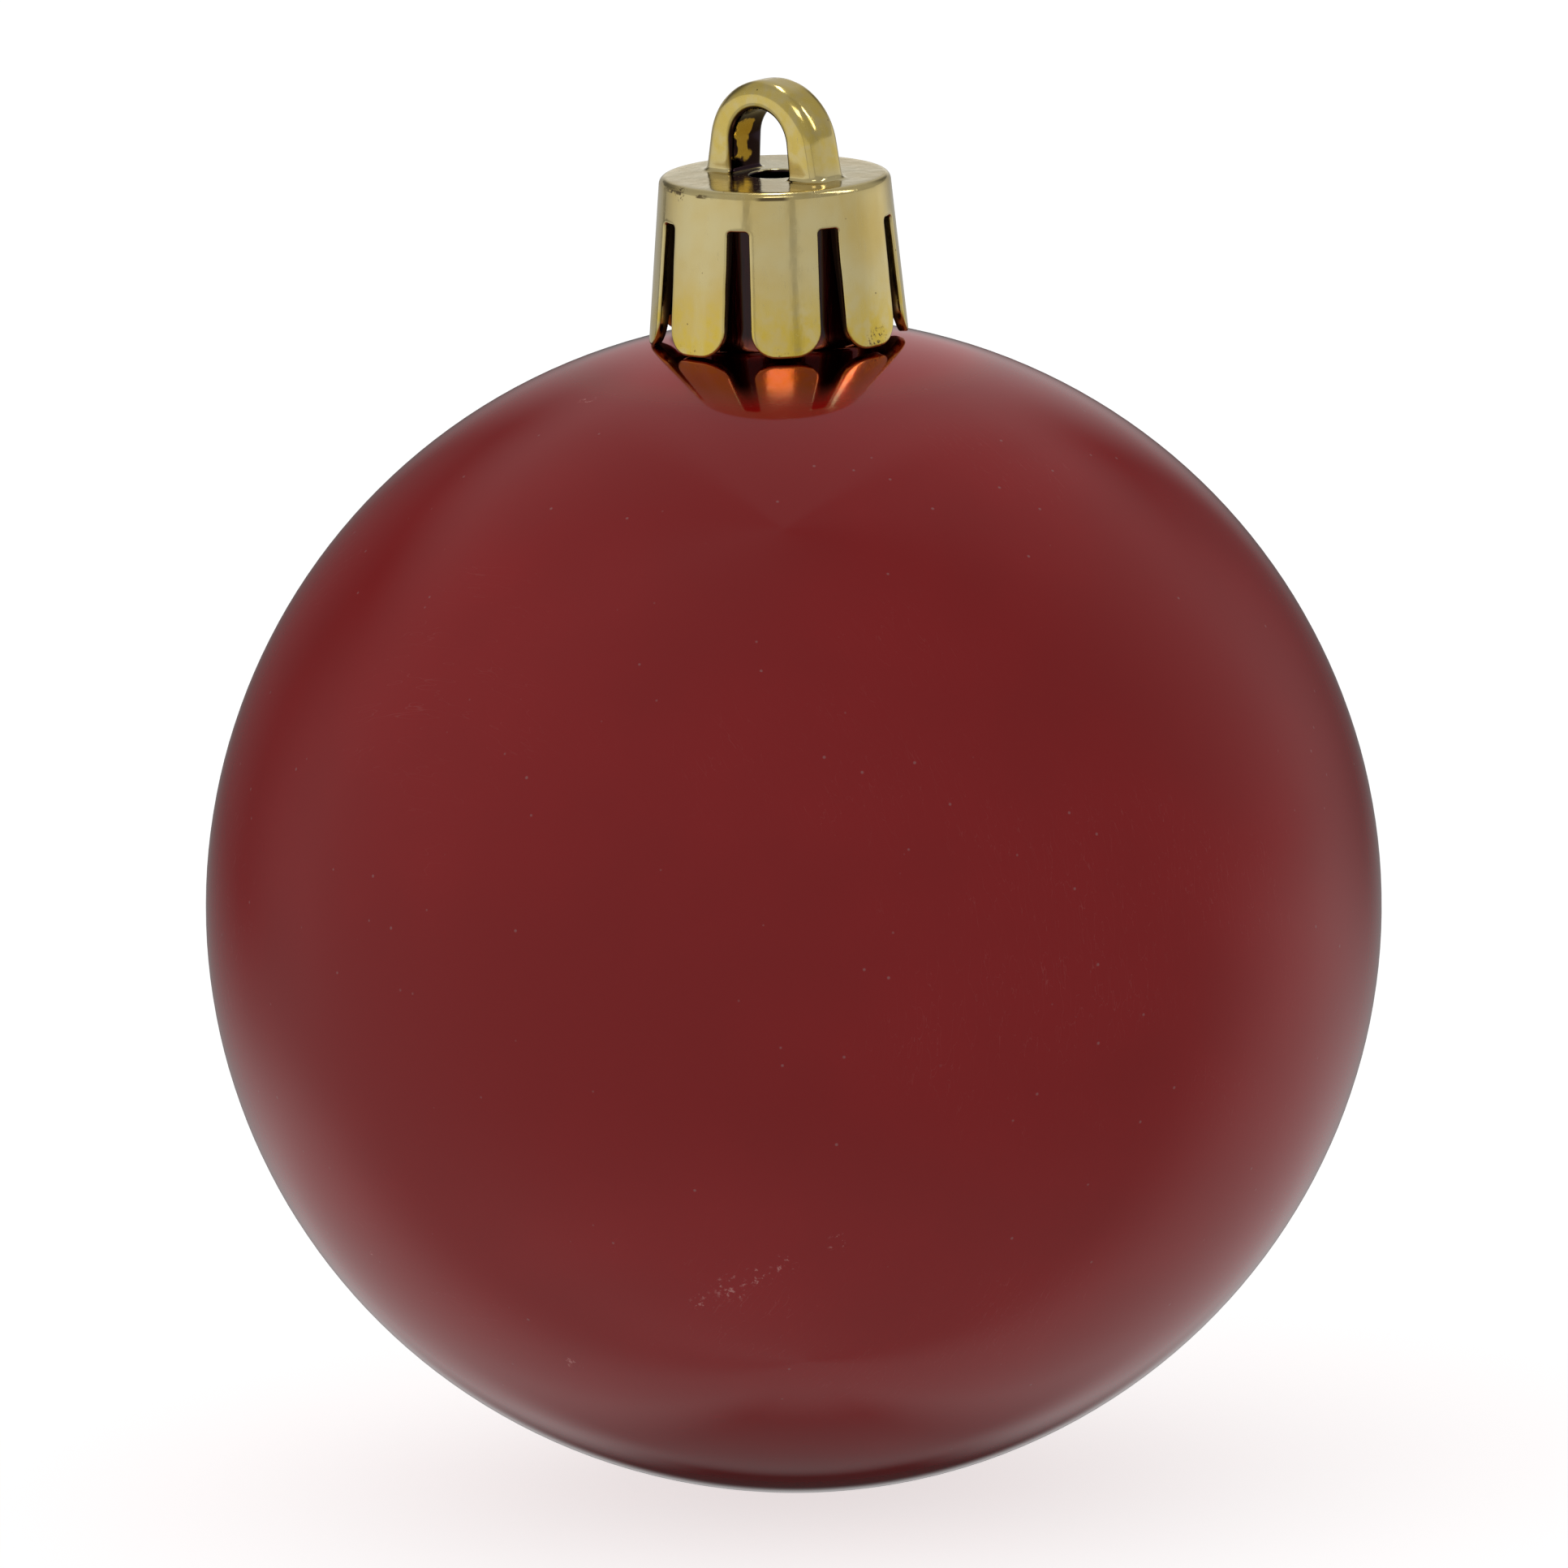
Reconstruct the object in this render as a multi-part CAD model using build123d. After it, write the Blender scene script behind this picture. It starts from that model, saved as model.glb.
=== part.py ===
from build123d import *
import os
from math import acos, atan2, degrees, hypot, radians, tan

# Shatterproof ball ornament: a hollow blow-moulded ball with a neck, and a one-piece
# moulded hanger cap that grips the neck with eight spring fingers.
# Millimetres, +Z up along the ball's axis. The origin is the top of the loop's hole,
# where a hook or thread carries the ornament. The loop's hole runs along Y.

# ---- Ball and its neck
BALL_DIAMETER = 60.0
BALL_WALL = 0.8
NECK_DIAMETER = 10.0
NECK_BORE = 8.4
NECK_ROOT_FILLET = 0.8
NECK_BORE_FLARE = 0.6
NECK_RIM_ROUND = 0.3

# ---- Cap body
CAP_HEIGHT = 8.4
CAP_TOP_DIAMETER = 11.74
CAP_FLARE = 5.0
CAP_PLATE = 1.0
CAP_FIT_CLEARANCE = 0.03
CAP_SEAT_CLEARANCE = 0.05
CAP_RIM_ROUND = 0.4
CAP_VENT_DIAMETER = 2.6
COLLAR_HEIGHT = 2.0
CAP_TO_BALL = 0.2

# ---- Spring fingers
FINGERS = 8
SLOT_TOP_WIDTH = 1.13
SLOT_BOTTOM_WIDTH = 1.43
SLOT_CORNER = 0.2
FINGER_TIP_THICKNESS = 0.5
FINGER_TIP_ROUND = 1.35
GRIP_RIB_WIDTH = 0.8
GRIP_RIB_LIFT = 1.6
GRIP_RIB_CLEARANCE = 0.06

# ---- Hanging loop
LOOP_OUTER_RADIUS = 3.6
LOOP_INNER_RADIUS = 1.8
LOOP_OUTER_CENTRE_HEIGHT = 1.27
LOOP_INNER_CENTRE_HEIGHT = 1.65
LOOP_FOOT_HALF_WIDTH = 3.95
LOOP_FOOT_INNER_HALF_WIDTH = 1.95
LOOP_WIDTH = 2.55
LOOP_OUTER_EDGE_ROUND = 0.8
LOOP_INNER_EDGE_ROUND = 0.35
LOOP_ROOT_DEPTH = 0.3

# ---- How far a cutting tool runs past the face it opens
OVERCUT = 1.0

# ---- Levels and radii that follow from the sizes above
ball_radius = BALL_DIAMETER / 2
neck_radius = NECK_DIAMETER / 2
bore_radius = NECK_BORE / 2
cap_top_radius = CAP_TOP_DIAMETER / 2
cap_tip_radius = cap_top_radius + CAP_HEIGHT * tan(radians(CAP_FLARE))
cap_fit_radius = neck_radius + CAP_FIT_CLEARANCE

cap_top_z = -(LOOP_INNER_CENTRE_HEIGHT + LOOP_INNER_RADIUS)
cap_seat_z = cap_top_z - CAP_PLATE
slot_top_z = cap_top_z - COLLAR_HEIGHT
finger_tip_z = cap_top_z - CAP_HEIGHT
tip_height_on_ball = (ball_radius**2 - cap_tip_radius**2) ** 0.5
ball_centre_z = finger_tip_z - CAP_TO_BALL - tip_height_on_ball
neck_rim_z = cap_seat_z - CAP_SEAT_CLEARANCE


def upright_cylinder(radius, bottom_z, top_z):
    """Solid cylinder on the Z axis between two levels."""
    middle = Pos(0, 0, (bottom_z + top_z) / 2)
    return middle * Cylinder(radius, top_z - bottom_z)


def ball_with_neck(sphere_radius, tube_radius, tube_top_z, root_fillet):
    """Solid sphere with a round stem on top, blended where they meet."""
    sphere = Pos(0, 0, ball_centre_z) * Sphere(sphere_radius)
    stem = upright_cylinder(tube_radius, ball_centre_z, tube_top_z)
    body = sphere + stem
    root = body.edges().filter_by(GeomType.CIRCLE).sort_by(Axis.Z)[-2]
    return fillet(root, root_fillet)


def make_ball_shell():
    """Hollow ball, open at the top through its neck."""
    outside = ball_with_neck(ball_radius, neck_radius, neck_rim_z, NECK_ROOT_FILLET)
    inside_radius = ball_radius - BALL_WALL
    inside = ball_with_neck(inside_radius, bore_radius, neck_rim_z + OVERCUT, NECK_BORE_FLARE)
    shell = outside - inside
    rim_edges = shell.edges().filter_by(GeomType.CIRCLE).group_by(Axis.Z)[-1]
    return fillet(rim_edges, NECK_RIM_ROUND)


def skirt_radius(level_z):
    """Outer radius of the flared skirt at a level."""
    return cap_top_radius + (cap_top_z - level_z) * tan(radians(CAP_FLARE))


def cap_body():
    """Cup with a flat top, a flared skirt and a small round vent in the top plate."""
    section = Polygon(
        (0, cap_top_z),
        (cap_top_radius, cap_top_z),
        (cap_tip_radius, finger_tip_z),
        (cap_tip_radius - FINGER_TIP_THICKNESS, finger_tip_z),
        (cap_fit_radius, slot_top_z),
        (cap_fit_radius, cap_seat_z),
        (0, cap_seat_z),
        align=None,
    )
    cup = revolve(Plane.XZ * section, Axis.Z)
    rim = cup.edges().filter_by(GeomType.CIRCLE).sort_by(Axis.Z)[-1]
    cup = fillet(rim, CAP_RIM_ROUND)
    vent = upright_cylinder(CAP_VENT_DIAMETER / 2, cap_seat_z - OVERCUT, cap_top_z + OVERCUT)
    return cup - vent


def grip_ribs():
    """Upright wedge ribs inside the fingers, whose crests bear on the straight neck."""
    crest_radius = neck_radius + GRIP_RIB_CLEARANCE
    foot_z = finger_tip_z + GRIP_RIB_LIFT
    head_z = (slot_top_z + cap_seat_z) / 2
    in_wall = FINGER_TIP_THICKNESS / 2
    wedge = Polygon(
        (crest_radius, head_z),
        (skirt_radius(head_z) - in_wall, head_z),
        (skirt_radius(foot_z) - in_wall, foot_z),
        (crest_radius, foot_z),
        align=None,
    )
    rib = extrude(Plane.XZ * wedge, amount=GRIP_RIB_WIDTH / 2, both=True)
    return [Rot(0, 0, turn * 360 / FINGERS) * rib for turn in range(FINGERS)]


def slot_cutter():
    """Gap between two fingers, with the round of a finger tip at each side of its foot."""
    top = SLOT_TOP_WIDTH / 2
    foot = SLOT_BOTTOM_WIDTH / 2
    flared_foot = foot + FINGER_TIP_ROUND
    with BuildSketch(Plane.XZ) as gap:
        with BuildLine():
            round_z = finger_tip_z + FINGER_TIP_ROUND
            side = Polyline((0, slot_top_z), (top, slot_top_z), (foot, round_z))
            tip = RadiusArc(side @ 1, (flared_foot, finger_tip_z), -FINGER_TIP_ROUND)
            below_z = finger_tip_z - OVERCUT
            Polyline(tip @ 1, (flared_foot, below_z), (0, below_z), side @ 0)
        make_face()
        mirror(about=Plane.YZ)
        top_corners = gap.vertices().group_by(Axis.Y)[-1].sort_by(Axis.X)
        fillet([top_corners[0], top_corners[-1]], SLOT_CORNER)
    return extrude(gap.sketch, amount=cap_tip_radius + OVERCUT)


def arch_outline(radius, centre_z, foot_half_width, foot_z):
    """Round arch whose legs run straight down, tangent to it, and spread to their feet."""
    drop = centre_z - foot_z
    spring = acos(radius / hypot(foot_half_width, drop)) - atan2(drop, foot_half_width)
    start = degrees(spring)
    with BuildSketch(Plane.XZ) as arch:
        with BuildLine():
            crown = CenterArc((0, centre_z), radius, start, 180 - 2 * start)
            Polyline(crown @ 1, (-foot_half_width, foot_z), (foot_half_width, foot_z), crown @ 0)
        make_face()
    return arch.sketch


def follows_arch(edge):
    """True for the edges along the band, not for those across it or at its feet."""
    size = edge.bounding_box().size
    return size.Y < size.Z


def half_span(edge):
    """Furthest distance of an edge from the YZ plane."""
    box = edge.bounding_box()
    return max(box.max.X, -box.min.X)


def hanging_loop():
    """Flat band bent into an arch over the cap, rounder outside than inside."""
    foot_z = cap_top_z - LOOP_ROOT_DEPTH
    outer_z = cap_top_z + LOOP_OUTER_CENTRE_HEIGHT
    inner_z = cap_top_z + LOOP_INNER_CENTRE_HEIGHT
    outer = arch_outline(LOOP_OUTER_RADIUS, outer_z, LOOP_FOOT_HALF_WIDTH, foot_z)
    inner = arch_outline(LOOP_INNER_RADIUS, inner_z, LOOP_FOOT_INNER_HALF_WIDTH, foot_z)
    band = extrude(outer - inner, amount=LOOP_WIDTH / 2, both=True)
    middle = (LOOP_INNER_RADIUS + LOOP_OUTER_RADIUS) / 2
    outside = band.edges().filter_by(follows_arch).filter_by(lambda edge: half_span(edge) > middle)
    band = fillet(outside, LOOP_OUTER_EDGE_ROUND)
    inside = band.edges().filter_by(follows_arch).filter_by(lambda edge: half_span(edge) < middle)
    return fillet(inside, LOOP_INNER_EDGE_ROUND)


def make_hanger_cap():
    """Cap, fingers, ribs and loop as the single moulding that they are."""
    cap = cap_body()
    cutter = slot_cutter()
    for turn in range(FINGERS):
        cap -= Rot(0, 0, (turn + 0.5) * 360 / FINGERS) * cutter
    for rib in grip_ribs():
        cap += rib
    return cap + hanging_loop()


os.makedirs("parts", exist_ok=True)
export_step(make_ball_shell(), "parts/ball_shell.step")
export_step(make_hanger_cap(), "parts/hanger_cap.step")
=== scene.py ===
from math import acos, asin, atan, atan2, cos, degrees, hypot, pi, radians, sin, sqrt, tan

import bpy
from mathutils import Matrix, Vector, noise


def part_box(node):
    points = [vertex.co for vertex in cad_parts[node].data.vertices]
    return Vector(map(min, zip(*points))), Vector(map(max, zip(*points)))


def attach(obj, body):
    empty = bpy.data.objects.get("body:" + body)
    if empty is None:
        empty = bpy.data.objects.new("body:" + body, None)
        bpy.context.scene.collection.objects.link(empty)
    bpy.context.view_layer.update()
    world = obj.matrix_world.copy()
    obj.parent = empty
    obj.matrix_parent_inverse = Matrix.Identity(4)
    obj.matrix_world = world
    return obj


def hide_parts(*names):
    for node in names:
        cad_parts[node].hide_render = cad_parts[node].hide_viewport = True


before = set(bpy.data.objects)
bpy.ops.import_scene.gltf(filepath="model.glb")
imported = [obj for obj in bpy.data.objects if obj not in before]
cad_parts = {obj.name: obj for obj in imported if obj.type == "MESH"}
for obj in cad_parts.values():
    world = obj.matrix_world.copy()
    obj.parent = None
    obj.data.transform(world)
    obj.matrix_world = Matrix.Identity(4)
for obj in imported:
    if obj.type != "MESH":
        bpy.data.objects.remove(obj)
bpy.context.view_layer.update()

# All sizes below are in millimetres and turned into metres as the meshes are made.
MM = 0.001

# ---- Sizes shared with the CAD
BALL_RADIUS = 30.0
BALL_WALL = 0.8
NECK_RADIUS = 5.0
NECK_BORE_RADIUS = 4.2
NECK_ROOT_FILLET = 0.8
NECK_BORE_FLARE = 0.6
NECK_RIM_ROUND = 0.3

CAP_HEIGHT = 8.4
CAP_TOP_RADIUS = 5.87
CAP_FLARE = tan(radians(5.0))
CAP_PLATE = 1.0
CAP_FIT_RADIUS = 5.03
CAP_RIM_ROUND = 0.4
CAP_VENT_RADIUS = 1.3
COLLAR_HEIGHT = 2.0
FINGERS = 8
FINGER_TIP_THICKNESS = 0.5
FINGER_TIP_ROUND = 1.35
SLOT_TOP_HALF = 0.565
SLOT_FOOT_HALF = 0.715
SLOT_CORNER = 0.2
RIB_CREST_RADIUS = 5.06
RIB_LIFT = 1.6

LOOP_OUTER_RADIUS = 3.6
LOOP_INNER_RADIUS = 1.8
LOOP_OUTER_CENTRE_HEIGHT = 1.27
LOOP_INNER_CENTRE_HEIGHT = 1.65
LOOP_FOOT_HALF_WIDTH = 3.95
LOOP_FOOT_INNER_HALF_WIDTH = 1.95
LOOP_WIDTH = 2.55
LOOP_OUTER_EDGE_ROUND = 0.8
LOOP_INNER_EDGE_ROUND = 0.35
LOOP_ROOT_DEPTH = 0.3

# ---- Camera, given as the ball's share of the picture
CAMERA_AZIMUTH = 41.5
CAMERA_ELEVATION = 11.0
CAMERA_DISTANCE = 1700.0
CAMERA_ROLL = 1.5
BALL_RADIUS_IN_FRAME = 0.3753
BALL_RIGHT_OF_CENTRE = 0.0062
BALL_BELOW_CENTRE = 0.0771

# ---- Levels taken from the frame
ball_low, ball_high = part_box("ball_shell")
cap_low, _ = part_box("hanger_cap")
ball_z = ball_low.z / MM + BALL_RADIUS
rim_z = ball_high.z / MM
tip_z = cap_low.z / MM
plate_z = tip_z + CAP_HEIGHT
seat_z = plate_z - CAP_PLATE
slot_top_z = plate_z - COLLAR_HEIGHT
tip_radius = CAP_TOP_RADIUS + CAP_HEIGHT * CAP_FLARE


# ---------------------------------------------------------------- mesh helpers
def new_object(name, points, faces):
    """Smooth-shaded mesh object from points in millimetres."""
    mesh = bpy.data.meshes.new(name)
    mesh.from_pydata([tuple(c * MM for c in p) for p in points], [], faces)
    mesh.validate()
    mesh.polygons.foreach_set("use_smooth", [True] * len(mesh.polygons))
    obj = bpy.data.objects.new(name, mesh)
    bpy.context.scene.collection.objects.link(obj)
    return obj


def arc(centre, radius, start, end, steps):
    """Points of a circular arc in the (radius, height) plane, angles in degrees."""
    turn = [radians(start + (end - start) * i / steps) for i in range(steps + 1)]
    return [(centre[0] + radius * cos(a), centre[1] + radius * sin(a)) for a in turn]


def straight(start, end, steps):
    """Points strictly between two points of a profile."""
    return [
        (start[0] + (end[0] - start[0]) * i / steps, start[1] + (end[1] - start[1]) * i / steps)
        for i in range(1, steps)
    ]


def lathe(profile, segments):
    """Points and faces of a profile turned about Z; its ends lie on the axis."""
    points = [(0.0, 0.0, profile[0][1])]
    for radius, z in profile[1:-1]:
        for i in range(segments):
            a = 2 * pi * i / segments
            points.append((radius * cos(a), radius * sin(a), z))
    points.append((0.0, 0.0, profile[-1][1]))
    faces = []
    rings = len(profile) - 2
    for i in range(segments):
        j = (i + 1) % segments
        faces.append((0, 1 + j, 1 + i))
        for ring in range(rings - 1):
            a, b = 1 + ring * segments, 1 + (ring + 1) * segments
            faces.append((a + i, a + j, b + j, b + i))
        last = 1 + (rings - 1) * segments
        faces.append((last + i, last + j, len(points) - 1))
    return points, faces


# ---------------------------------------------------------------- ball
BALL_SEGMENTS = 192
BALL_SWELL = 0.045
BALL_SWELL_SCALE = 0.045


def neck_blend(sphere_radius, tube_radius, fillet):
    """Centre of the fillet between sphere and tube, and where it meets the sphere (degrees)."""
    r = tube_radius + fillet
    z = sqrt((sphere_radius + fillet) ** 2 - r**2)
    return (r, ball_z + z), degrees(atan2(z, r))


def ball_profile():
    """Outside from the bottom pole up to the neck's rim, then the inside back down."""
    centre = (0.0, ball_z)
    inner_radius = BALL_RADIUS - BALL_WALL
    out_fillet, out_angle = neck_blend(BALL_RADIUS, NECK_RADIUS, NECK_ROOT_FILLET)
    in_fillet, in_angle = neck_blend(inner_radius, NECK_BORE_RADIUS, NECK_BORE_FLARE)
    round_z = rim_z - NECK_RIM_ROUND
    outside = arc(centre, BALL_RADIUS, -90, out_angle, 96)
    outside += arc(out_fillet, NECK_ROOT_FILLET, out_angle + 180, 180, 8)[1:]
    outside += straight(outside[-1], (NECK_RADIUS, round_z), 8)
    outside += arc((NECK_RADIUS - NECK_RIM_ROUND, round_z), NECK_RIM_ROUND, 0, 90, 4)
    inside = arc((NECK_BORE_RADIUS + NECK_RIM_ROUND, round_z), NECK_RIM_ROUND, 90, 180, 4)
    inside += straight(inside[-1], (NECK_BORE_RADIUS, in_fillet[1]), 6)
    inside += arc(in_fillet, NECK_BORE_FLARE, 180, in_angle + 180, 6)
    inside += arc(centre, inner_radius, in_angle, -90, 60)[1:]
    return outside + inside


def swell(point):
    """Draws the shell in by a few hundredths, unevenly, as a blown wall cools."""
    p = Vector(point)
    from_centre = p - Vector((0.0, 0.0, ball_z))
    dip = BALL_SWELL * (0.5 + 0.5 * noise.noise(from_centre * BALL_SWELL_SCALE))
    fade = min(1.0, max(0.0, (from_centre.xy.length - NECK_RADIUS) / NECK_RADIUS))
    if from_centre.z < 0:
        fade = 1.0
    shrunk = p - from_centre.normalized() * dip * fade
    return tuple(shrunk)


def make_ball():
    points, faces = lathe(ball_profile(), BALL_SEGMENTS)
    return new_object("ball_shell_skin", [swell(p) for p in points], faces)


# ---------------------------------------------------------------- cap
FINGER_COLUMNS = 16
SLOT_COLUMNS = 4
TIP_ROWS = 8
SIDE_ROWS = 14
CORNER_ROWS = 4
COLLAR_ROWS = 6
EDGE_ROUND = 0.14
INNER_EDGE_ROUND = 0.08
BEVEL_STEPS = 4
WALL_STEPS = 3
VENT_ROUND = 0.12
SEAT_ROUND = 0.15
EDGE_WAVER = 0.02
SKIRT_SLANT = 0.13
RIB_HALF_SHARE = 0.25
RIB_FLANK_SHARE = 0.125
SECTOR = 2 * pi / FINGERS


def outer_radius(z):
    """Outside of the flared skirt at a height."""
    return CAP_TOP_RADIUS + (plate_z - z) * CAP_FLARE


def inner_radius(z):
    """Inside of the collar and of the fingers below it."""
    share = max(0.0, (slot_top_z - z) / (slot_top_z - tip_z))
    return CAP_FIT_RADIUS + share * (tip_radius - FINGER_TIP_THICKNESS - CAP_FIT_RADIUS)


def slot_rows(inset):
    """Rows of a finger from its tip to the slot's top, as (height, slot half-width)."""
    rows = []
    tip_round = FINGER_TIP_ROUND - inset
    for i in range(TIP_ROWS):
        a = radians(90 * i / TIP_ROWS)
        z = tip_z + inset + tip_round * (1 - cos(a))
        rows.append((z, SLOT_FOOT_HALF + inset + tip_round * (1 - sin(a))))
    low, high = tip_z + FINGER_TIP_ROUND, slot_top_z - SLOT_CORNER
    for i in range(SIDE_ROWS):
        share = i / SIDE_ROWS
        half = SLOT_FOOT_HALF + (SLOT_TOP_HALF - SLOT_FOOT_HALF) * share
        rows.append((low + (high - low) * share, half + inset))
    corner = SLOT_CORNER + inset
    for i in range(CORNER_ROWS + 1):
        a = radians(90 * i / CORNER_ROWS)
        rows.append((high + corner * sin(a), SLOT_TOP_HALF - SLOT_CORNER + corner * cos(a)))
    return rows


def slot_angle(finger, side, half, radius, z):
    """Angle of the slot edge at a finger's left (-1) or right (+1) side, slightly uneven."""
    finger %= FINGERS
    middle = -pi / 2 + (finger + side / 2) * SECTOR
    waver = EDGE_WAVER * noise.noise(Vector((z * 0.9, finger * 7.3, side * 5.1)))
    return middle - side * asin((half + waver) / radius)


def between(start, end, share):
    """Angle part of the way from one to another, the short way round."""
    gap = (end - start + pi) % (2 * pi) - pi
    return start + gap * share


class Skin:
    """Points and faces of a closed skin, added ring by ring."""

    def __init__(self):
        self.points = []
        self.faces = []

    def add(self, radius, angle, z):
        self.points.append((radius * cos(angle), radius * sin(angle), z))
        return len(self.points) - 1

    def ring(self, radius, angles, z):
        return [self.add(radius, angle, z) for angle in angles]

    def strip(self, a, b, closed=True):
        """Quads from one row of points to the next row along the skin."""
        for i in range(len(a) if closed else len(a) - 1):
            j = (i + 1) % len(a)
            self.faces.append((a[i], a[j], b[j], b[i]))


def finger_grid(skin, finger, inset, radius_at):
    """Broad face of one finger, as rows of points from the tip to the slot's top."""
    grid = []
    for z, half in slot_rows(inset):
        edge = radius_at(z, 1.0)
        left = slot_angle(finger, -1, half, edge, z)
        right = slot_angle(finger, 1, half, edge, z)
        row = []
        for i in range(FINGER_COLUMNS + 1):
            share = i / FINGER_COLUMNS
            across = abs(2 * share - 1)
            row.append(skin.add(radius_at(z, across), between(left, right, share), z))
        grid.append(row)
    return grid


def ribbed_inner_radius(z, across):
    """Inside of a finger, with the upright grip rib down its middle."""
    wall = inner_radius(z)
    flank = min(1.0, max(0.0, (RIB_HALF_SHARE + RIB_FLANK_SHARE - across) / RIB_FLANK_SHARE))
    foot = min(1.0, max(0.0, (z - tip_z - RIB_LIFT) / INNER_EDGE_ROUND))
    return wall + (min(wall, RIB_CREST_RADIUS) - wall) * flank * foot


def slot_top_points(skin, finger, inset, radius):
    """Points between a finger's right side and the next one's left along the slot's top."""
    z, half = slot_rows(inset)[-1]
    start = slot_angle(finger, 1, half, radius, z)
    end = slot_angle(finger + 1, -1, half, radius, z)
    shares = [i / SLOT_COLUMNS for i in range(1, SLOT_COLUMNS)]
    return [skin.add(radius, between(start, end, share), z) for share in shares]


def edge_loop(grids, tops):
    """The one edge that runs round every finger and slot, from the grids' own points."""
    loop = []
    for grid, top in zip(grids, tops):
        loop += [row[0] for row in reversed(grid)]
        loop += grid[0][1:-1]
        loop += [row[-1] for row in grid]
        loop += top
    return loop


def side_loop(skin, inset, radius_at):
    """The same edge at some depth in the wall's thickness."""
    loop = []
    for finger in range(FINGERS):
        sides = {}
        for side in (-1, 1):
            sides[side] = [
                (radius_at(z), slot_angle(finger, side, half, radius_at(z), z), z)
                for z, half in slot_rows(inset)
            ]
        low_left, low_right = sides[-1][0], sides[1][0]
        tip = [
            (low_left[0], between(low_left[1], low_right[1], i / FINGER_COLUMNS), low_left[2])
            for i in range(1, FINGER_COLUMNS)
        ]
        loop += [skin.add(*p) for p in sides[-1][::-1] + tip + sides[1]]
        loop += slot_top_points(skin, finger, inset, radius_at(sides[1][-1][2]))
    return loop


def full_ring(grids, tops):
    """The grids' top rows and the slots' tops joined into one ring round the collar."""
    ring = []
    for grid, top in zip(grids, tops):
        ring += grid[-1] + top
    return ring


def wall_levels():
    """(inset, radius function) from the outer face over both edges to the inner face."""
    levels = []
    for i in range(1, BEVEL_STEPS + 1):
        a = radians(90 * i / BEVEL_STEPS)
        depth = EDGE_ROUND * (1 - cos(a))
        levels.append((EDGE_ROUND * (1 - sin(a)), lambda z, d=depth: outer_radius(z) - d))
    for i in range(1, WALL_STEPS):
        share = i / WALL_STEPS
        levels.append(
            (
                0.0,
                lambda z, s=share: (outer_radius(z) - EDGE_ROUND) * (1 - s)
                + (inner_radius(z) + INNER_EDGE_ROUND) * s,
            )
        )
    for i in range(BEVEL_STEPS):
        a = radians(90 * i / BEVEL_STEPS)
        height = INNER_EDGE_ROUND * (1 - sin(a))
        levels.append((INNER_EDGE_ROUND * (1 - cos(a)), lambda z, h=height: inner_radius(z) + h))
    return levels


def crown_profile():
    """From the collar's outside over the rim, the plate and the vent to the cup's inside."""
    slope = atan(CAP_FLARE)
    rim_centre_z = plate_z - CAP_RIM_ROUND
    rim_centre_r = outer_radius(rim_centre_z) - CAP_RIM_ROUND / cos(slope)
    start_z = slot_top_z + EDGE_ROUND
    start = (outer_radius(start_z), start_z)
    rim = arc((rim_centre_r, rim_centre_z), CAP_RIM_ROUND, degrees(slope), 90, 8)
    vent_r = CAP_VENT_RADIUS + VENT_ROUND
    vent = arc((vent_r, plate_z - VENT_ROUND), VENT_ROUND, 90, 180, 4)
    vent += straight(vent[-1], (CAP_VENT_RADIUS, seat_z), 4) + [(CAP_VENT_RADIUS, seat_z)]
    seat = arc((CAP_FIT_RADIUS - SEAT_ROUND, seat_z - SEAT_ROUND), SEAT_ROUND, 90, 0, 3)
    outside = straight(start, rim[0], COLLAR_ROWS) + rim
    plate = straight(rim[-1], vent[0], 12)
    return outside + plate + vent + straight(vent[-1], seat[0], 6) + seat


def settled(point):
    """Lets the fingers down a little on one side; the lowest tip just enters the ball."""
    x, y, z = point
    share = max(0.0, (slot_top_z - z) / (slot_top_z - tip_z))
    a = radians(CAMERA_AZIMUTH)
    leftward = -(x * cos(a) + y * sin(a)) / tip_radius
    return x, y, z - SKIRT_SLANT * leftward * share


def make_cap_body():
    """Cup with its eight fingers: one closed skin of quads."""
    skin = Skin()
    outer_grids = [
        finger_grid(skin, f, EDGE_ROUND, lambda z, across: outer_radius(z)) for f in range(FINGERS)
    ]
    inner_grids = [
        finger_grid(skin, f, INNER_EDGE_ROUND, ribbed_inner_radius) for f in range(FINGERS)
    ]
    outer_r = outer_radius(slot_rows(EDGE_ROUND)[-1][0])
    outer_tops = [slot_top_points(skin, f, EDGE_ROUND, outer_r) for f in range(FINGERS)]
    inner_tops = [
        slot_top_points(skin, f, INNER_EDGE_ROUND, CAP_FIT_RADIUS) for f in range(FINGERS)
    ]
    for outer, inner in zip(outer_grids, inner_grids):
        for low, high in zip(outer, outer[1:]):
            skin.strip(low, high, closed=False)
        for low, high in zip(inner, inner[1:]):
            skin.strip(high, low, closed=False)

    loops = [edge_loop(outer_grids, outer_tops)]
    loops += [side_loop(skin, inset, radius_at) for inset, radius_at in wall_levels()]
    loops.append(edge_loop(inner_grids, inner_tops))
    for shallow, deep in zip(loops, loops[1:]):
        skin.strip(deep, shallow)

    first = full_ring(outer_grids, outer_tops)
    last = full_ring(inner_grids, inner_tops)
    angles = [atan2(skin.points[i][1], skin.points[i][0]) for i in first]
    rings = [first] + [skin.ring(r, angles, z) for r, z in crown_profile()] + [last]
    for before, after in zip(rings, rings[1:]):
        skin.strip(before, after)
    return new_object("hanger_cap_skin", [settled(p) for p in skin.points], skin.faces)


# ---------------------------------------------------------------- hanging loop
ARCH_STEPS = 28
LEG_STEPS = 10
LOOP_CORNER_STEPS = 6
LOOP_FLAT_STEPS = 4
LOOP_FOOT_FILLET = 0.25
LOOP_FOOT_STEPS = 6
LOOP_SUNK = 0.15


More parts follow.
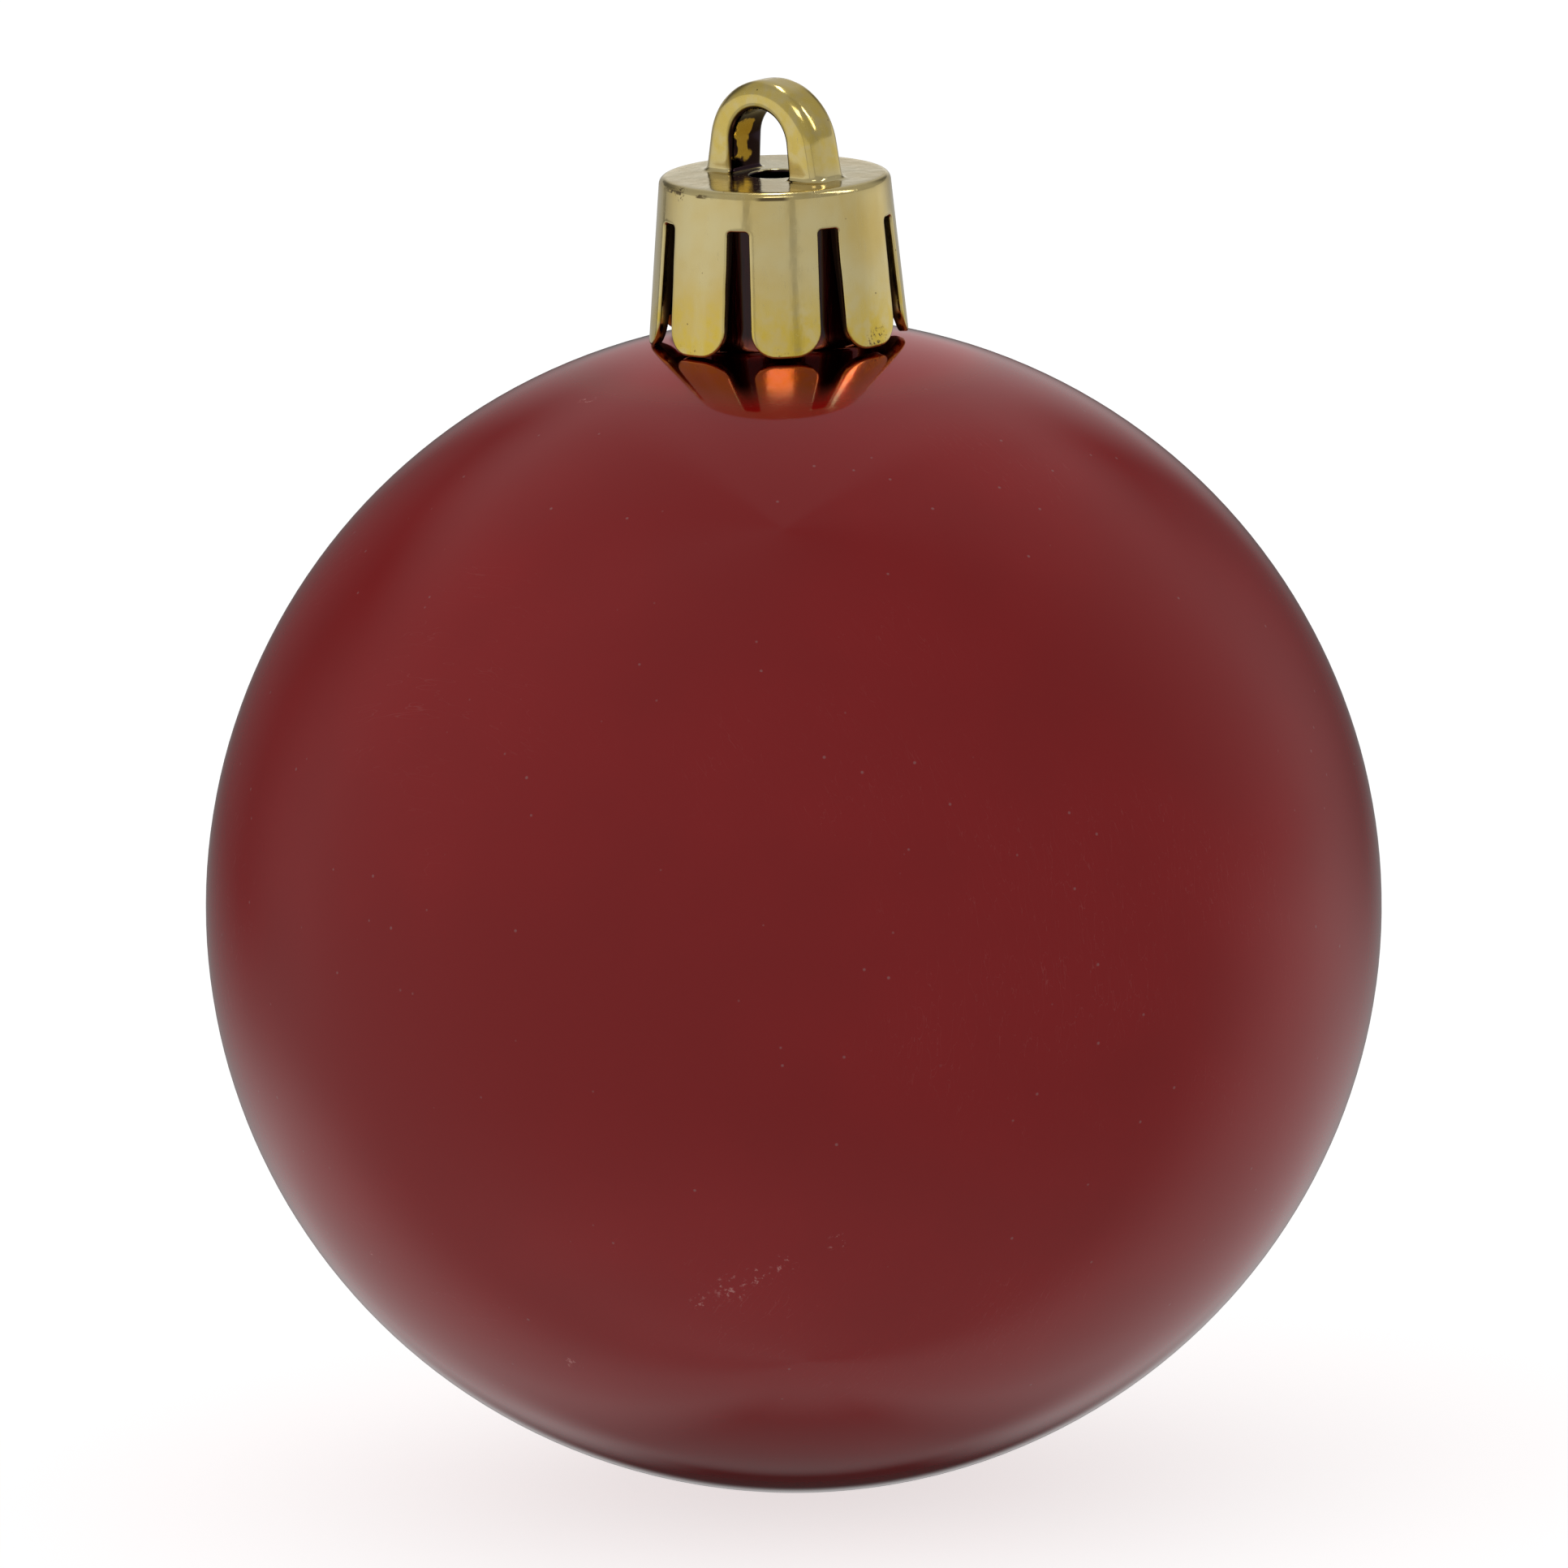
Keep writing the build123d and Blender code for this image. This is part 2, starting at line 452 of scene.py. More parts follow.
def band_section():
    """Rounded rectangle as (outward share 0 to 1, inset from that side, width, normals)."""
    half_wide = LOOP_WIDTH / 2
    corners = [(1, 1, 0), (0, 1, 90), (0, -1, 180), (1, -1, 270)]
    rounded = []
    for outer, sy, first in corners:
        edge_round = LOOP_OUTER_EDGE_ROUND if outer else LOOP_INNER_EDGE_ROUND
        for i in range(LOOP_CORNER_STEPS + 1):
            a = radians(first + 90 * i / LOOP_CORNER_STEPS)
            inset = edge_round * (cos(a) - 1 if outer else cos(a) + 1)
            width = sy * (half_wide - edge_round) + edge_round * sin(a)
            rounded.append((outer, inset, width, cos(a), sin(a)))
    section = []
    for i, here in enumerate(rounded):
        section.append(here)
        ahead = rounded[(i + 1) % len(rounded)]
        if (i + 1) % (LOOP_CORNER_STEPS + 1) == 0:
            for k in range(1, LOOP_FLAT_STEPS):
                share = k / LOOP_FLAT_STEPS
                mixed = [a + (b - a) * share for a, b in zip(here, ahead)]
                section.append((*mixed[:3], here[3], here[4]))
    return section


def leg_line(radius, centre_height, foot_half_width):
    """Foot of a leg, where the leg is tangent to the arch, and the arch's start angle."""
    drop = centre_height + LOOP_ROOT_DEPTH
    spring = acos(radius / hypot(foot_half_width, drop)) - atan2(drop, foot_half_width)
    tangent = (radius * cos(spring), centre_height + radius * sin(spring))
    return (foot_half_width, -LOOP_ROOT_DEPTH), tangent, spring


def on_line(line, height):
    """Point of a leg's line at a height above the plate."""
    (x0, z0), (x1, z1), _ = line
    return x0 + (x1 - x0) * (height - z0) / (z1 - z0), height


def lerp(a, b, share):
    return tuple(p + (q - p) * share for p, q in zip(a, b))


def loop_stations():
    """(outer point, inner point, foot growth) along the band, from one foot to the top."""
    outer = leg_line(LOOP_OUTER_RADIUS, LOOP_OUTER_CENTRE_HEIGHT, LOOP_FOOT_HALF_WIDTH)
    inner = leg_line(LOOP_INNER_RADIUS, LOOP_INNER_CENTRE_HEIGHT, LOOP_FOOT_INNER_HALF_WIDTH)
    stations = []
    for i in range(-1, LOOP_FOOT_STEPS + 1):
        rise = LOOP_FOOT_FILLET * (1 - cos(radians(90 * max(i, 0) / LOOP_FOOT_STEPS)))
        grow = LOOP_FOOT_FILLET - sqrt(LOOP_FOOT_FILLET**2 - (LOOP_FOOT_FILLET - rise) ** 2)
        height = rise if i >= 0 else -LOOP_SUNK
        stations.append((on_line(outer, height), on_line(inner, height), grow))
    foot_outer, foot_inner, _ = stations[-1]
    for i in range(1, LEG_STEPS):
        share = i / LEG_STEPS
        stations.append((lerp(foot_outer, outer[1], share), lerp(foot_inner, inner[1], share), 0.0))
    for i in range(ARCH_STEPS + 1):
        ring = []
        for radius, centre_height, line in (
            (LOOP_OUTER_RADIUS, LOOP_OUTER_CENTRE_HEIGHT, outer),
            (LOOP_INNER_RADIUS, LOOP_INNER_CENTRE_HEIGHT, inner),
        ):
            a = line[2] + (pi / 2 - line[2]) * i / ARCH_STEPS
            ring.append((radius * cos(a), centre_height + radius * sin(a)))
        stations.append((*ring, 0.0))
    return stations


def make_loop():
    """Flat band swept from the right foot over the arch to the left foot."""
    half = loop_stations()
    mirrored = [((-o[0], o[1]), (-i[0], i[1]), grow) for o, i, grow in reversed(half[:-1])]
    section = band_section()
    points, rows = [], []
    for outer, inner, grow in half + mirrored:
        across = Vector(outer) - Vector(inner)
        out = across.normalized()
        row = []
        for share, inset, width, normal_in, normal_wide in section:
            p = Vector(inner) + across * share + out * (inset + normal_in * grow)
            points.append((p.x, width + normal_wide * grow, plate_z + p.y))
            row.append(len(points) - 1)
        rows.append(row)
    faces = [tuple(rows[0]), tuple(reversed(rows[-1]))]
    for low, high in zip(rows, rows[1:]):
        for i in range(len(section)):
            j = (i + 1) % len(section)
            faces.append((low[j], low[i], high[i], high[j]))
    return new_object("hanging_loop", points, faces)


def fuse(body, tool):
    """Joins two closed skins of one moulding into a single skin."""
    join = body.modifiers.new("fuse", "BOOLEAN")
    join.operation = "UNION"
    join.solver = "EXACT"
    join.object = tool
    bpy.context.view_layer.update()
    graph = bpy.context.evaluated_depsgraph_get()
    fused = bpy.data.meshes.new_from_object(body.evaluated_get(graph))
    body.modifiers.clear()
    body.data = fused
    fused.polygons.foreach_set("use_smooth", [True] * len(fused.polygons))
    bpy.data.objects.remove(tool)
    return body


def make_cap():
    return fuse(make_cap_body(), make_loop())


# ---------------------------------------------------------------- node helpers
def node(tree, kind, inputs=(), **settings):
    """Adds a node, sets its properties, and links or sets its inputs."""
    made = tree.nodes.new(kind)
    for name, value in settings.items():
        setattr(made, name, value)
    for key, value in dict(inputs).items():
        if isinstance(value, bpy.types.NodeSocket):
            tree.links.new(value, made.inputs[key])
        else:
            made.inputs[key].default_value = value
    return made


def calc(tree, operation, a, b=0.0, c=0.0):
    return node(tree, "ShaderNodeMath", {0: a, 1: b, 2: c}, operation=operation).outputs[0]


def ramp(tree, value, low, high, out_low=0.0, out_high=1.0):
    """Smooth step of a value between two limits, which may also fall."""
    if low > high:
        low, high, out_low, out_high = high, low, out_high, out_low
    inputs = {"Value": value, "From Min": low, "From Max": high, "To Min": out_low, "To Max": out_high}
    return node(tree, "ShaderNodeMapRange", inputs, interpolation_type="SMOOTHSTEP").outputs[0]


def band(tree, value, centre, half, soft):
    """One within half a width of the centre, falling to nothing over the soft edge."""
    off = calc(tree, "ABSOLUTE", calc(tree, "SUBTRACT", value, centre))
    return ramp(tree, off, half + soft, half)


def length_of(tree, a, b):
    """Length of the vector made of two values."""
    squares = [calc(tree, "POWER", value, 2.0) for value in (a, b)]
    return calc(tree, "SQRT", calc(tree, "ADD", *squares))


def product(tree, *values):
    total = values[0]
    for value in values[1:]:
        total = calc(tree, "MULTIPLY", total, value)
    return total


def blend_value(tree, share, a, b):
    return node(tree, "ShaderNodeMix", {0: share, 2: a, 3: b}, data_type="FLOAT").outputs[0]


def blend_colour(tree, share, a, b):
    inputs = {0: share, 6: a, 7: b}
    return node(tree, "ShaderNodeMix", inputs, data_type="RGBA").outputs[2]


def noise_of(tree, vector, scale, detail=2.0, roughness=0.5, distortion=0.0):
    inputs = {
        "Vector": vector,
        "Scale": scale,
        "Detail": detail,
        "Roughness": roughness,
        "Distortion": distortion,
    }
    return node(tree, "ShaderNodeTexNoise", inputs).outputs["Fac"]


def stretched(tree, vector, scale, turn=(0.0, 0.0, 0.0)):
    inputs = {"Vector": vector, "Scale": scale, "Rotation": turn}
    return node(tree, "ShaderNodeMapping", inputs).outputs[0]


def specks_of(tree, vector, scale, size):
    """Round specks, one in some of the cells of a grid of random points."""
    cells = node(tree, "ShaderNodeTexVoronoi", {"Vector": vector, "Scale": scale})
    chosen = node(tree, "ShaderNodeSeparateColor", {0: cells.outputs["Color"]})
    grain = ramp(tree, cells.outputs["Distance"], size, size * 0.4)
    return grain, chosen.outputs[0]


def spot(tree, vector, centre, radius):
    """Soft round patch around a point, in millimetres."""
    away = node(tree, "ShaderNodeVectorMath", {0: vector, 1: centre}, operation="DISTANCE")
    return ramp(tree, away.outputs["Value"], radius, radius * 0.5)


def bump_chain(tree, layers):
    """Normal from several (height, strength, depth in millimetres) layers."""
    normal = None
    for height, strength, depth in layers:
        inputs = {"Height": height, "Strength": strength, "Distance": depth * MM}
        if normal is not None:
            inputs["Normal"] = normal
        normal = node(tree, "ShaderNodeBump", inputs).outputs[0]
    return normal


def shader_material(name):
    """Material with its node tree, Principled shader and position in millimetres."""
    material = bpy.data.materials.new(name)
    material.use_nodes = True
    tree = material.node_tree
    place = node(tree, "ShaderNodeTexCoord").outputs["Object"]
    inputs = {0: place, 1: (1 / MM, 1 / MM, 1 / MM)}
    in_mm = node(tree, "ShaderNodeVectorMath", inputs, operation="MULTIPLY").outputs[0]
    return material, tree, tree.nodes["Principled BSDF"], in_mm


# ---------------------------------------------------------------- red ball
RED = (0.38, 0.003, 0.005, 1)
RED_THICK = (0.33, 0.002, 0.003, 1)
RED_NECK_SHADE_MIRROR = (0.37, 0.085, 0.05, 1)
RED_RUB = (0.75, 0.32, 0.3, 1)
RED_DUST = (0.45, 0.2, 0.2, 1)
# Near black: painted shade of the cap over the neck.
NECK_RED_PAINTED_SHADE = (0.045, 0.001, 0.002, 1)
RED_METALLIC = 0.35
BARE_INSIDE = (0.62, 0.62, 0.64, 1)

# Within this distance of the neck's root the skin is a clear, coppery mirror with no diffuse red:
# painted shade of the cap over the ball.
NECK_SHADE_FULL = 9.0
NECK_SHADE_END = 12.0

# Rub marks as (azimuth from the camera's side, elevation, radius in millimetres).
RUBS = (
    (-11.4, -30.4, 0.8),
    (-7.9, -28.8, 1.1),
    (-4.7, -27.1, 0.9),
    (-2.0, -25.9, 0.8),
    (3.8, -23.5, 0.7),
    (-56.0, -29.5, 0.5),
    (-31.0, -40.4, 0.6),
    (-56.8, 67.0, 0.6),
    (150.0, -20.0, 2.5),
    (-130.0, 35.0, 1.6),
)


def on_ball(azimuth, elevation):
    """Point of the ball's surface at an azimuth from the camera's side and an elevation."""
    a, e = radians(azimuth + CAMERA_AZIMUTH), radians(elevation)
    outward = Vector((sin(a) * cos(e), -cos(a) * cos(e), sin(e)))
    return tuple(outward * BALL_RADIUS + Vector((0, 0, ball_z)))


def red_lacquer():
    material, tree, shader, at = shader_material("red_lacquer_on_metallised_plastic")
    centre = (0.0, 0.0, ball_z)
    from_centre = node(tree, "ShaderNodeVectorMath", {0: at, 1: centre}, operation="DISTANCE")
    split = node(tree, "ShaderNodeSeparateXYZ", {0: at})
    inside = ramp(tree, from_centre.outputs["Value"], BALL_RADIUS - 0.3, BALL_RADIUS - 0.6)
    root_z = ball_z + sqrt(BALL_RADIUS**2 - NECK_RADIUS**2)
    neck = ramp(tree, split.outputs["Z"], root_z - 0.1, root_z + 0.9)
    bare = calc(tree, "SUBTRACT", inside, neck)
    top = (0.0, 0.0, root_z)
    from_top = node(tree, "ShaderNodeVectorMath", {0: at, 1: top}, operation="DISTANCE")
    neck_shade_mirror = ramp(tree, from_top.outputs["Value"], NECK_SHADE_END, NECK_SHADE_FULL)

    cloud = noise_of(tree, at, 0.05, 3.0)
    peel = noise_of(tree, at, 1.6, 2.0, 0.45)
    ripple = noise_of(tree, at, 0.35, 1.0)
    fine = noise_of(tree, at, 9.0, 3.0, 0.6)
    nib, nib_choice = specks_of(tree, at, 0.42, 0.16)
    nibs = calc(tree, "MULTIPLY", nib, ramp(tree, nib_choice, 0.80, 0.82))
    dust, dust_choice = specks_of(tree, at, 1.3, 0.14)
    dusts = calc(tree, "MULTIPLY", dust, ramp(tree, dust_choice, 0.90, 0.92))

    rub_grain = noise_of(tree, at, 2.6, 3.0, 0.7)
    rub_places = None
    for azimuth, elevation, radius in RUBS:
        place = spot(tree, at, on_ball(azimuth, elevation), radius)
        rub_places = place if rub_places is None else calc(tree, "MAXIMUM", rub_places, place)
    rubs = product(tree, rub_places, ramp(tree, rub_grain, 0.56, 0.66), 0.7)
    hair = noise_of(tree, stretched(tree, at, (0.15, 2.4, 0.4), (0.9, 0.2, 1.1)), 1.1, 2.0)
    hairlines = product(tree, band(tree, hair, 0.5, 0.001, 0.004), ramp(tree, cloud, 0.5, 0.65), 0.12)

    colour = blend_colour(tree, ramp(tree, cloud, 0.35, 0.65), RED_THICK, RED)
    colour = blend_colour(tree, product(tree, ramp(tree, peel, 0.3, 0.8), 0.12), colour, RED_THICK)
    colour = blend_colour(tree, calc(tree, "MAXIMUM", rubs, hairlines), colour, RED_RUB)
    colour = blend_colour(tree, calc(tree, "MULTIPLY", dusts, 0.6), colour, RED_DUST)
    # Coppery mirror colour round the neck's root: painted shade of the cap.
    colour = blend_colour(tree, product(tree, neck_shade_mirror, 0.85), colour, RED_NECK_SHADE_MIRROR)
    # The neck under the cap is painted near black: painted shade.
    colour = blend_colour(tree, neck, colour, NECK_RED_PAINTED_SHADE)
    colour = blend_colour(tree, bare, colour, BARE_INSIDE)
    rough = ramp(tree, cloud, 0.3, 0.7, 0.29, 0.34)
    rough = calc(tree, "MULTIPLY_ADD", fine, 0.03, rough)
    rough = calc(tree, "MULTIPLY_ADD", calc(tree, "MAXIMUM", rubs, dusts), 0.2, rough)
    rough = blend_value(tree, neck_shade_mirror, rough, 0.12)
    rough = blend_value(tree, neck, rough, 0.5)
    # Full metal round the neck, so no diffuse red there: part of the painted shade.
    metallic = blend_value(tree, neck_shade_mirror, RED_METALLIC, 1.0)
    rough = blend_value(tree, bare, rough, 0.3)
    neck_lines = noise_of(tree, stretched(tree, at, (1.0, 1.0, 0.12)), 3.0, 3.0, 0.6)
    streaks = calc(tree, "MULTIPLY", neck_lines, neck)
    gate = spot(tree, at, (0.0, 0.0, ball_z - BALL_RADIUS), 1.1)
    normal = bump_chain(
        tree,
        [
            (ripple, 0.25, 0.012),
            (peel, 0.3, 0.004),
            (fine, 0.15, 0.001),
            (nibs, 0.5, 0.02),
            (gate, 0.8, -0.08),
            (streaks, 0.9, 0.12),
        ],
    )

    tree.links.new(colour, shader.inputs["Base Color"])
    tree.links.new(rough, shader.inputs["Roughness"])
    tree.links.new(normal, shader.inputs["Normal"])
    tree.links.new(metallic, shader.inputs["Metallic"])
    shader.inputs["Specular IOR Level"].default_value = 0.0
    shader.inputs["Specular Tint"].default_value = (1.0, 0.05, 0.05, 1)
    shader.inputs["Coat Weight"].default_value = 1.0
    shader.inputs["Coat Roughness"].default_value = 0.06
    shader.inputs["Coat IOR"].default_value = 1.48
    return material


# ---------------------------------------------------------------- gold cap
GOLD = (0.67, 0.505, 0.175, 1)
GOLD_YELLOW = (0.72, 0.525, 0.083, 1)
GOLD_PALE = (0.70, 0.60, 0.315, 1)
# Dark of wear and specks, and of the painted dark reflection under the rim's glint.
GOLD_WORN_AND_DARK_REFLECTION = (0.18, 0.13, 0.06, 1)
GOLD_INSIDE = (0.14, 0.09, 0.04, 1)
GOLD_DEEP = (0.75, 0.5, 0.08, 1)
# Near black: painted shade in the vent, and the bare, thinly coated patch inside the loop.
GOLD_NEAR_BLACK = (0.03, 0.015, 0.02, 1)


def on_cap(azimuth, z):
    """Point of the cap's outside at an azimuth from the camera's side and a height."""
    a = radians(azimuth + CAMERA_AZIMUTH)
    return outer_radius(z) * sin(a), -outer_radius(z) * cos(a), z


def gold_lacquer():
    material, tree, shader, at = shader_material("gold_lacquer_on_metallised_plastic")
    split = node(tree, "ShaderNodeSeparateXYZ", {0: at})
    x, y, z = split.outputs
    radius = length_of(tree, x, y)
    skirt = calc(tree, "MULTIPLY_ADD", z, -CAP_FLARE, CAP_TOP_RADIUS + plate_z * CAP_FLARE)
    depth = calc(tree, "SUBTRACT", skirt, radius)
    below_plate = ramp(tree, z, seat_z + 0.25, seat_z - 0.05)
    inside = calc(tree, "MULTIPLY", ramp(tree, depth, 0.18, 0.5), below_plate)
    # The vent's wall and rounded edge are painted near black: painted shade in the hole.
    in_vent = product(
        tree,
        ramp(tree, radius, CAP_VENT_RADIUS + 0.12, CAP_VENT_RADIUS + 0.04),
        ramp(tree, z, plate_z, plate_z - 0.08),
    )
    low = ramp(tree, z, slot_top_z - 2.0, tip_z + 0.8)
    spring_z = plate_z + LOOP_INNER_CENTRE_HEIGHT
    above_spring = calc(tree, "MAXIMUM", calc(tree, "SUBTRACT", z, spring_z), 0.0)
    from_hole = length_of(tree, x, above_spring)
    in_loop = product(
        tree,
        ramp(tree, from_hole, LOOP_FOOT_INNER_HALF_WIDTH + 0.12, LOOP_FOOT_INNER_HALF_WIDTH),
        ramp(tree, z, plate_z + 0.01, plate_z + 0.06),
    )
    drift = calc(tree, "SUBTRACT", noise_of(tree, at, 0.9, 2.0), 0.5)
    coated_y = calc(tree, "MULTIPLY_ADD", drift, 2.2, y)
    coated_z = calc(tree, "MULTIPLY_ADD", drift, 1.6, z)
    coated = product(
        tree, band(tree, coated_y, -0.4, 0.6, 0.12), band(tree, coated_z, spring_z, 0.95, 0.12)
    )
    thin = calc(tree, "SUBTRACT", 1.0, coated)

    cloud = noise_of(tree, at, 0.22, 3.0)
    mottle = noise_of(tree, at, 1.3, 4.0, 0.55)
    flow = noise_of(tree, stretched(tree, at, (1.0, 1.0, 0.22)), 1.1, 3.0, 0.5)
    fine = noise_of(tree, at, 14.0, 3.0, 0.6)
    speck, speck_choice = specks_of(tree, at, 2.2, 0.13)
    specks = calc(tree, "MULTIPLY", speck, ramp(tree, speck_choice, 0.93, 0.94))
    chips = noise_of(tree, at, 5.5, 4.0, 0.7)
    worn = spot(tree, at, on_cap(50, tip_z + 0.3), 1.1)
    worn = calc(tree, "MAXIMUM", worn, spot(tree, at, on_cap(-55, plate_z - 0.2), 0.6))
    wear_and_dark_reflection = calc(tree, "MULTIPLY", worn, ramp(tree, chips, 0.54, 0.6))
    # Short dark dash just under the rim's glint: painted dark reflection.
    dark_reflection_dash = product(
        tree, spot(tree, at, on_cap(-1.5, plate_z - 0.3), 1.0), band(tree, z, plate_z - 0.3, 0.05, 0.05)
    )
    rim_dash = product(
        tree, spot(tree, at, on_cap(-52, plate_z - 0.3), 2.2), band(tree, z, plate_z - 0.3, 0.06, 0.06)
    )
    rim_dash = calc(tree, "MULTIPLY", rim_dash, ramp(tree, mottle, 0.46, 0.54))
    wear_and_dark_reflection = calc(tree, "MAXIMUM", wear_and_dark_reflection, calc(tree, "MAXIMUM", dark_reflection_dash, rim_dash))
    tip_wear = calc(tree, "MULTIPLY", ramp(tree, z, tip_z + 0.7, tip_z), ramp(tree, chips, 0.62, 0.68))
    wear_and_dark_reflection = calc(tree, "MAXIMUM", wear_and_dark_reflection, tip_wear)
    scratch = noise_of(tree, stretched(tree, at, (3.0, 3.0, 0.25), (0.1, 0.25, 0.0)), 1.6, 2.0)
    scratches = product(tree, band(tree, scratch, 0.5, 0.002, 0.006), ramp(tree, mottle, 0.5, 0.65))

    colour = blend_colour(tree, ramp(tree, cloud, 0.3, 0.7), GOLD, GOLD_PALE)
    yellow = calc(tree, "MAXIMUM", low, ramp(tree, z, plate_z + 0.2, plate_z + 1.0, 0.0, 0.7))
    yellow = calc(tree, "MULTIPLY", yellow, ramp(tree, mottle, 0.35, 0.6, 0.35, 1.0))
    colour = blend_colour(tree, yellow, colour, GOLD_YELLOW)
    colour = blend_colour(tree, product(tree, ramp(tree, flow, 0.45, 0.7), 0.3), colour, GOLD_PALE)
    colour = blend_colour(tree, product(tree, scratches, 0.5), colour, GOLD_PALE)
    # Worn spots, specks and the painted dark reflection under the rim's glint.
    colour = blend_colour(tree, calc(tree, "MAXIMUM", specks, wear_and_dark_reflection), colour, GOLD_WORN_AND_DARK_REFLECTION)
    colour = blend_colour(tree, inside, colour, GOLD_INSIDE)
    # Painted shade inside the vent.
    colour = blend_colour(tree, in_vent, colour, GOLD_NEAR_BLACK)
    colour = blend_colour(tree, in_loop, colour, GOLD_DEEP)
    colour = blend_colour(tree, product(tree, in_loop, thin), colour, GOLD_NEAR_BLACK)
    rough = ramp(tree, mottle, 0.3, 0.7, 0.09, 0.16)
    rough = calc(tree, "MULTIPLY_ADD", fine, 0.03, rough)
    rough = calc(tree, "MULTIPLY_ADD", calc(tree, "MAXIMUM", wear_and_dark_reflection, scratches), 0.25, rough)
    rough = blend_value(tree, inside, rough, 0.45)
    normal = bump_chain(
        tree,
        [
            (cloud, 0.5, 0.05),
            (flow, 0.5, 0.03),
            (mottle, 0.25, 0.008),
            (fine, 0.15, 0.001),
            (calc(tree, "MAXIMUM", wear_and_dark_reflection, specks), 0.5, -0.01),
        ],
    )

    tree.links.new(colour, shader.inputs["Base Color"])
    tree.links.new(rough, shader.inputs["Roughness"])
    tree.links.new(normal, shader.inputs["Normal"])
    shader.inputs["Metallic"].default_value = 1.0
    return material


# ---------------------------------------------------------------- build
ball = make_ball()
ball.data.materials.append(red_lacquer())
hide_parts("ball_shell")
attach(ball, "ball")

cap = make_cap()
cap.data.materials.clear()
cap.data.materials.append(gold_lacquer())
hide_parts("hanger_cap")
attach(cap, "cap")


# ---------------------------------------------------------------- stage
FLOOR_RADIUS = 3000.0
FLOOR_THICKNESS = 10.0
STUDIO_LEVEL = 0.43
FLOOR_TO_CAMERA = 0.7
PANEL_DISTANCE = 300.0

# Pale horizon panels as (azimuth, half-width in degrees, radiance), with thin gaps between.
# The cap mirrors the gaps as dark upright lines.
HORIZON_PANELS = (
    (-159.5, 20.0, 0.28),
    (-83.7, 52.7, 0.28),
    (-6.0, 19.0, 0.2),
    (69.5, 50.5, 0.22),
    (150.0, 30.0, 0.28),
)

# Side fills of the ball as (azimuth, elevation, radiance).
SIDE_FILLS = (
    (-140, 20, 1.2),
    (135, 25, 0.7),
)


def make_floor():
    """Pale floor under the ball, near white to the camera and left out of mirror reflections."""
    top = ball_low.z / MM
    low = top - FLOOR_THICKNESS
    profile = [(0, low), (FLOOR_RADIUS, low), (FLOOR_RADIUS, top), (0, top)]
    floor = new_object("floor", *lathe(profile, 64))
    floor.data.polygons.foreach_set("use_smooth", [False] * len(floor.data.polygons))
    material, tree, shader, _ = shader_material("pale_floor")
    seen = node(tree, "ShaderNodeLightPath").outputs["Is Camera Ray"]
    glow = calc(tree, "MULTIPLY", seen, FLOOR_TO_CAMERA)
    shader.inputs["Base Color"].default_value = (0.85, 0.85, 0.85, 1)
    shader.inputs["Roughness"].default_value = 0.9
    shader.inputs["Specular IOR Level"].default_value = 0.0
    shader.inputs["Emission Color"].default_value = (1, 1, 1, 1)
    tree.links.new(glow, shader.inputs["Emission Strength"])
    floor.data.materials.append(material)
    floor.visible_glossy = False


def studio_direction(tree):
    """Azimuth from the camera's side, azimuth from behind, and elevation, in degrees."""
    a = radians(CAMERA_AZIMUTH)
    toward = node(tree, "ShaderNodeTexCoord").outputs["Generated"]
    parts = []
    for axis in ((cos(a), sin(a), 0), (sin(a), -cos(a), 0), (0, 0, 1)):
        part = node(tree, "ShaderNodeVectorMath", {0: toward, 1: axis}, operation="DOT_PRODUCT")
        parts.append(part.outputs["Value"])
    right, front, up = parts
    full = 180 / pi
    from_front = calc(tree, "MULTIPLY", calc(tree, "ARCTAN2", right, front), full)
    from_behind = calc(
        tree, "MULTIPLY", calc(tree, "ARCTAN2", right, calc(tree, "MULTIPLY", front, -1.0)), full
    )
    elevation = calc(tree, "MULTIPLY", calc(tree, "ARCSINE", up), full)
    return from_front, from_behind, elevation


def make_studio():
    """Soft even studio light: pale all round, darker behind, with a pale table and sheet."""
    world = bpy.data.worlds.new("studio")
    world.use_nodes = True
    bpy.context.scene.world = world
    tree = world.node_tree
    from_front, from_behind, elevation = studio_direction(tree)
    lift = calc(tree, "MULTIPLY_ADD", from_front, -0.0009, STUDIO_LEVEL)
    front_only = band(tree, from_front, 0, 70, 50)
    level = blend_value(tree, front_only, STUDIO_LEVEL, lift)
    below = product(tree, ramp(tree, elevation, -25, -55), front_only)
    level = calc(tree, "MULTIPLY_ADD", below, 0.07, level)
    tilted = calc(tree, "MULTIPLY_ADD", from_behind, -0.15, elevation)
    table = product(tree, ramp(tree, tilted, -7, -19), band(tree, from_behind, 7, 55, 35))
    level = blend_value(tree, table, level, 0.58)
    room = product(tree, band(tree, elevation, 8, 13, 18), band(tree, from_behind, -8, 30, 35))
    level = blend_value(tree, room, level, 0.12)
    off_sheet = calc(tree, "ABSOLUTE", calc(tree, "SUBTRACT", from_behind, 3.0))
    off_sheet = calc(tree, "MULTIPLY_ADD", elevation, -0.35, off_sheet)
    sheet = product(tree, ramp(tree, off_sheet, 16, 1), ramp(tree, elevation, -8, 6))
    level = blend_value(tree, sheet, level, 0.53)
    foot = product(tree, band(tree, from_behind, 0, 14, 20), band(tree, elevation, -58, 10, 14))
    level = blend_value(tree, foot, level, 0.26)
    contact = product(tree, band(tree, from_behind, 0, 5, 11), band(tree, elevation, -33, 5, 10))
    level = blend_value(tree, contact, level, 0.04)
    tree.links.new(level, tree.nodes["Background"].inputs["Strength"])
    tree.nodes["Background"].inputs["Color"].default_value = (1, 1, 1, 1)
    bpy.context.scene.view_settings.view_transform = "Standard"


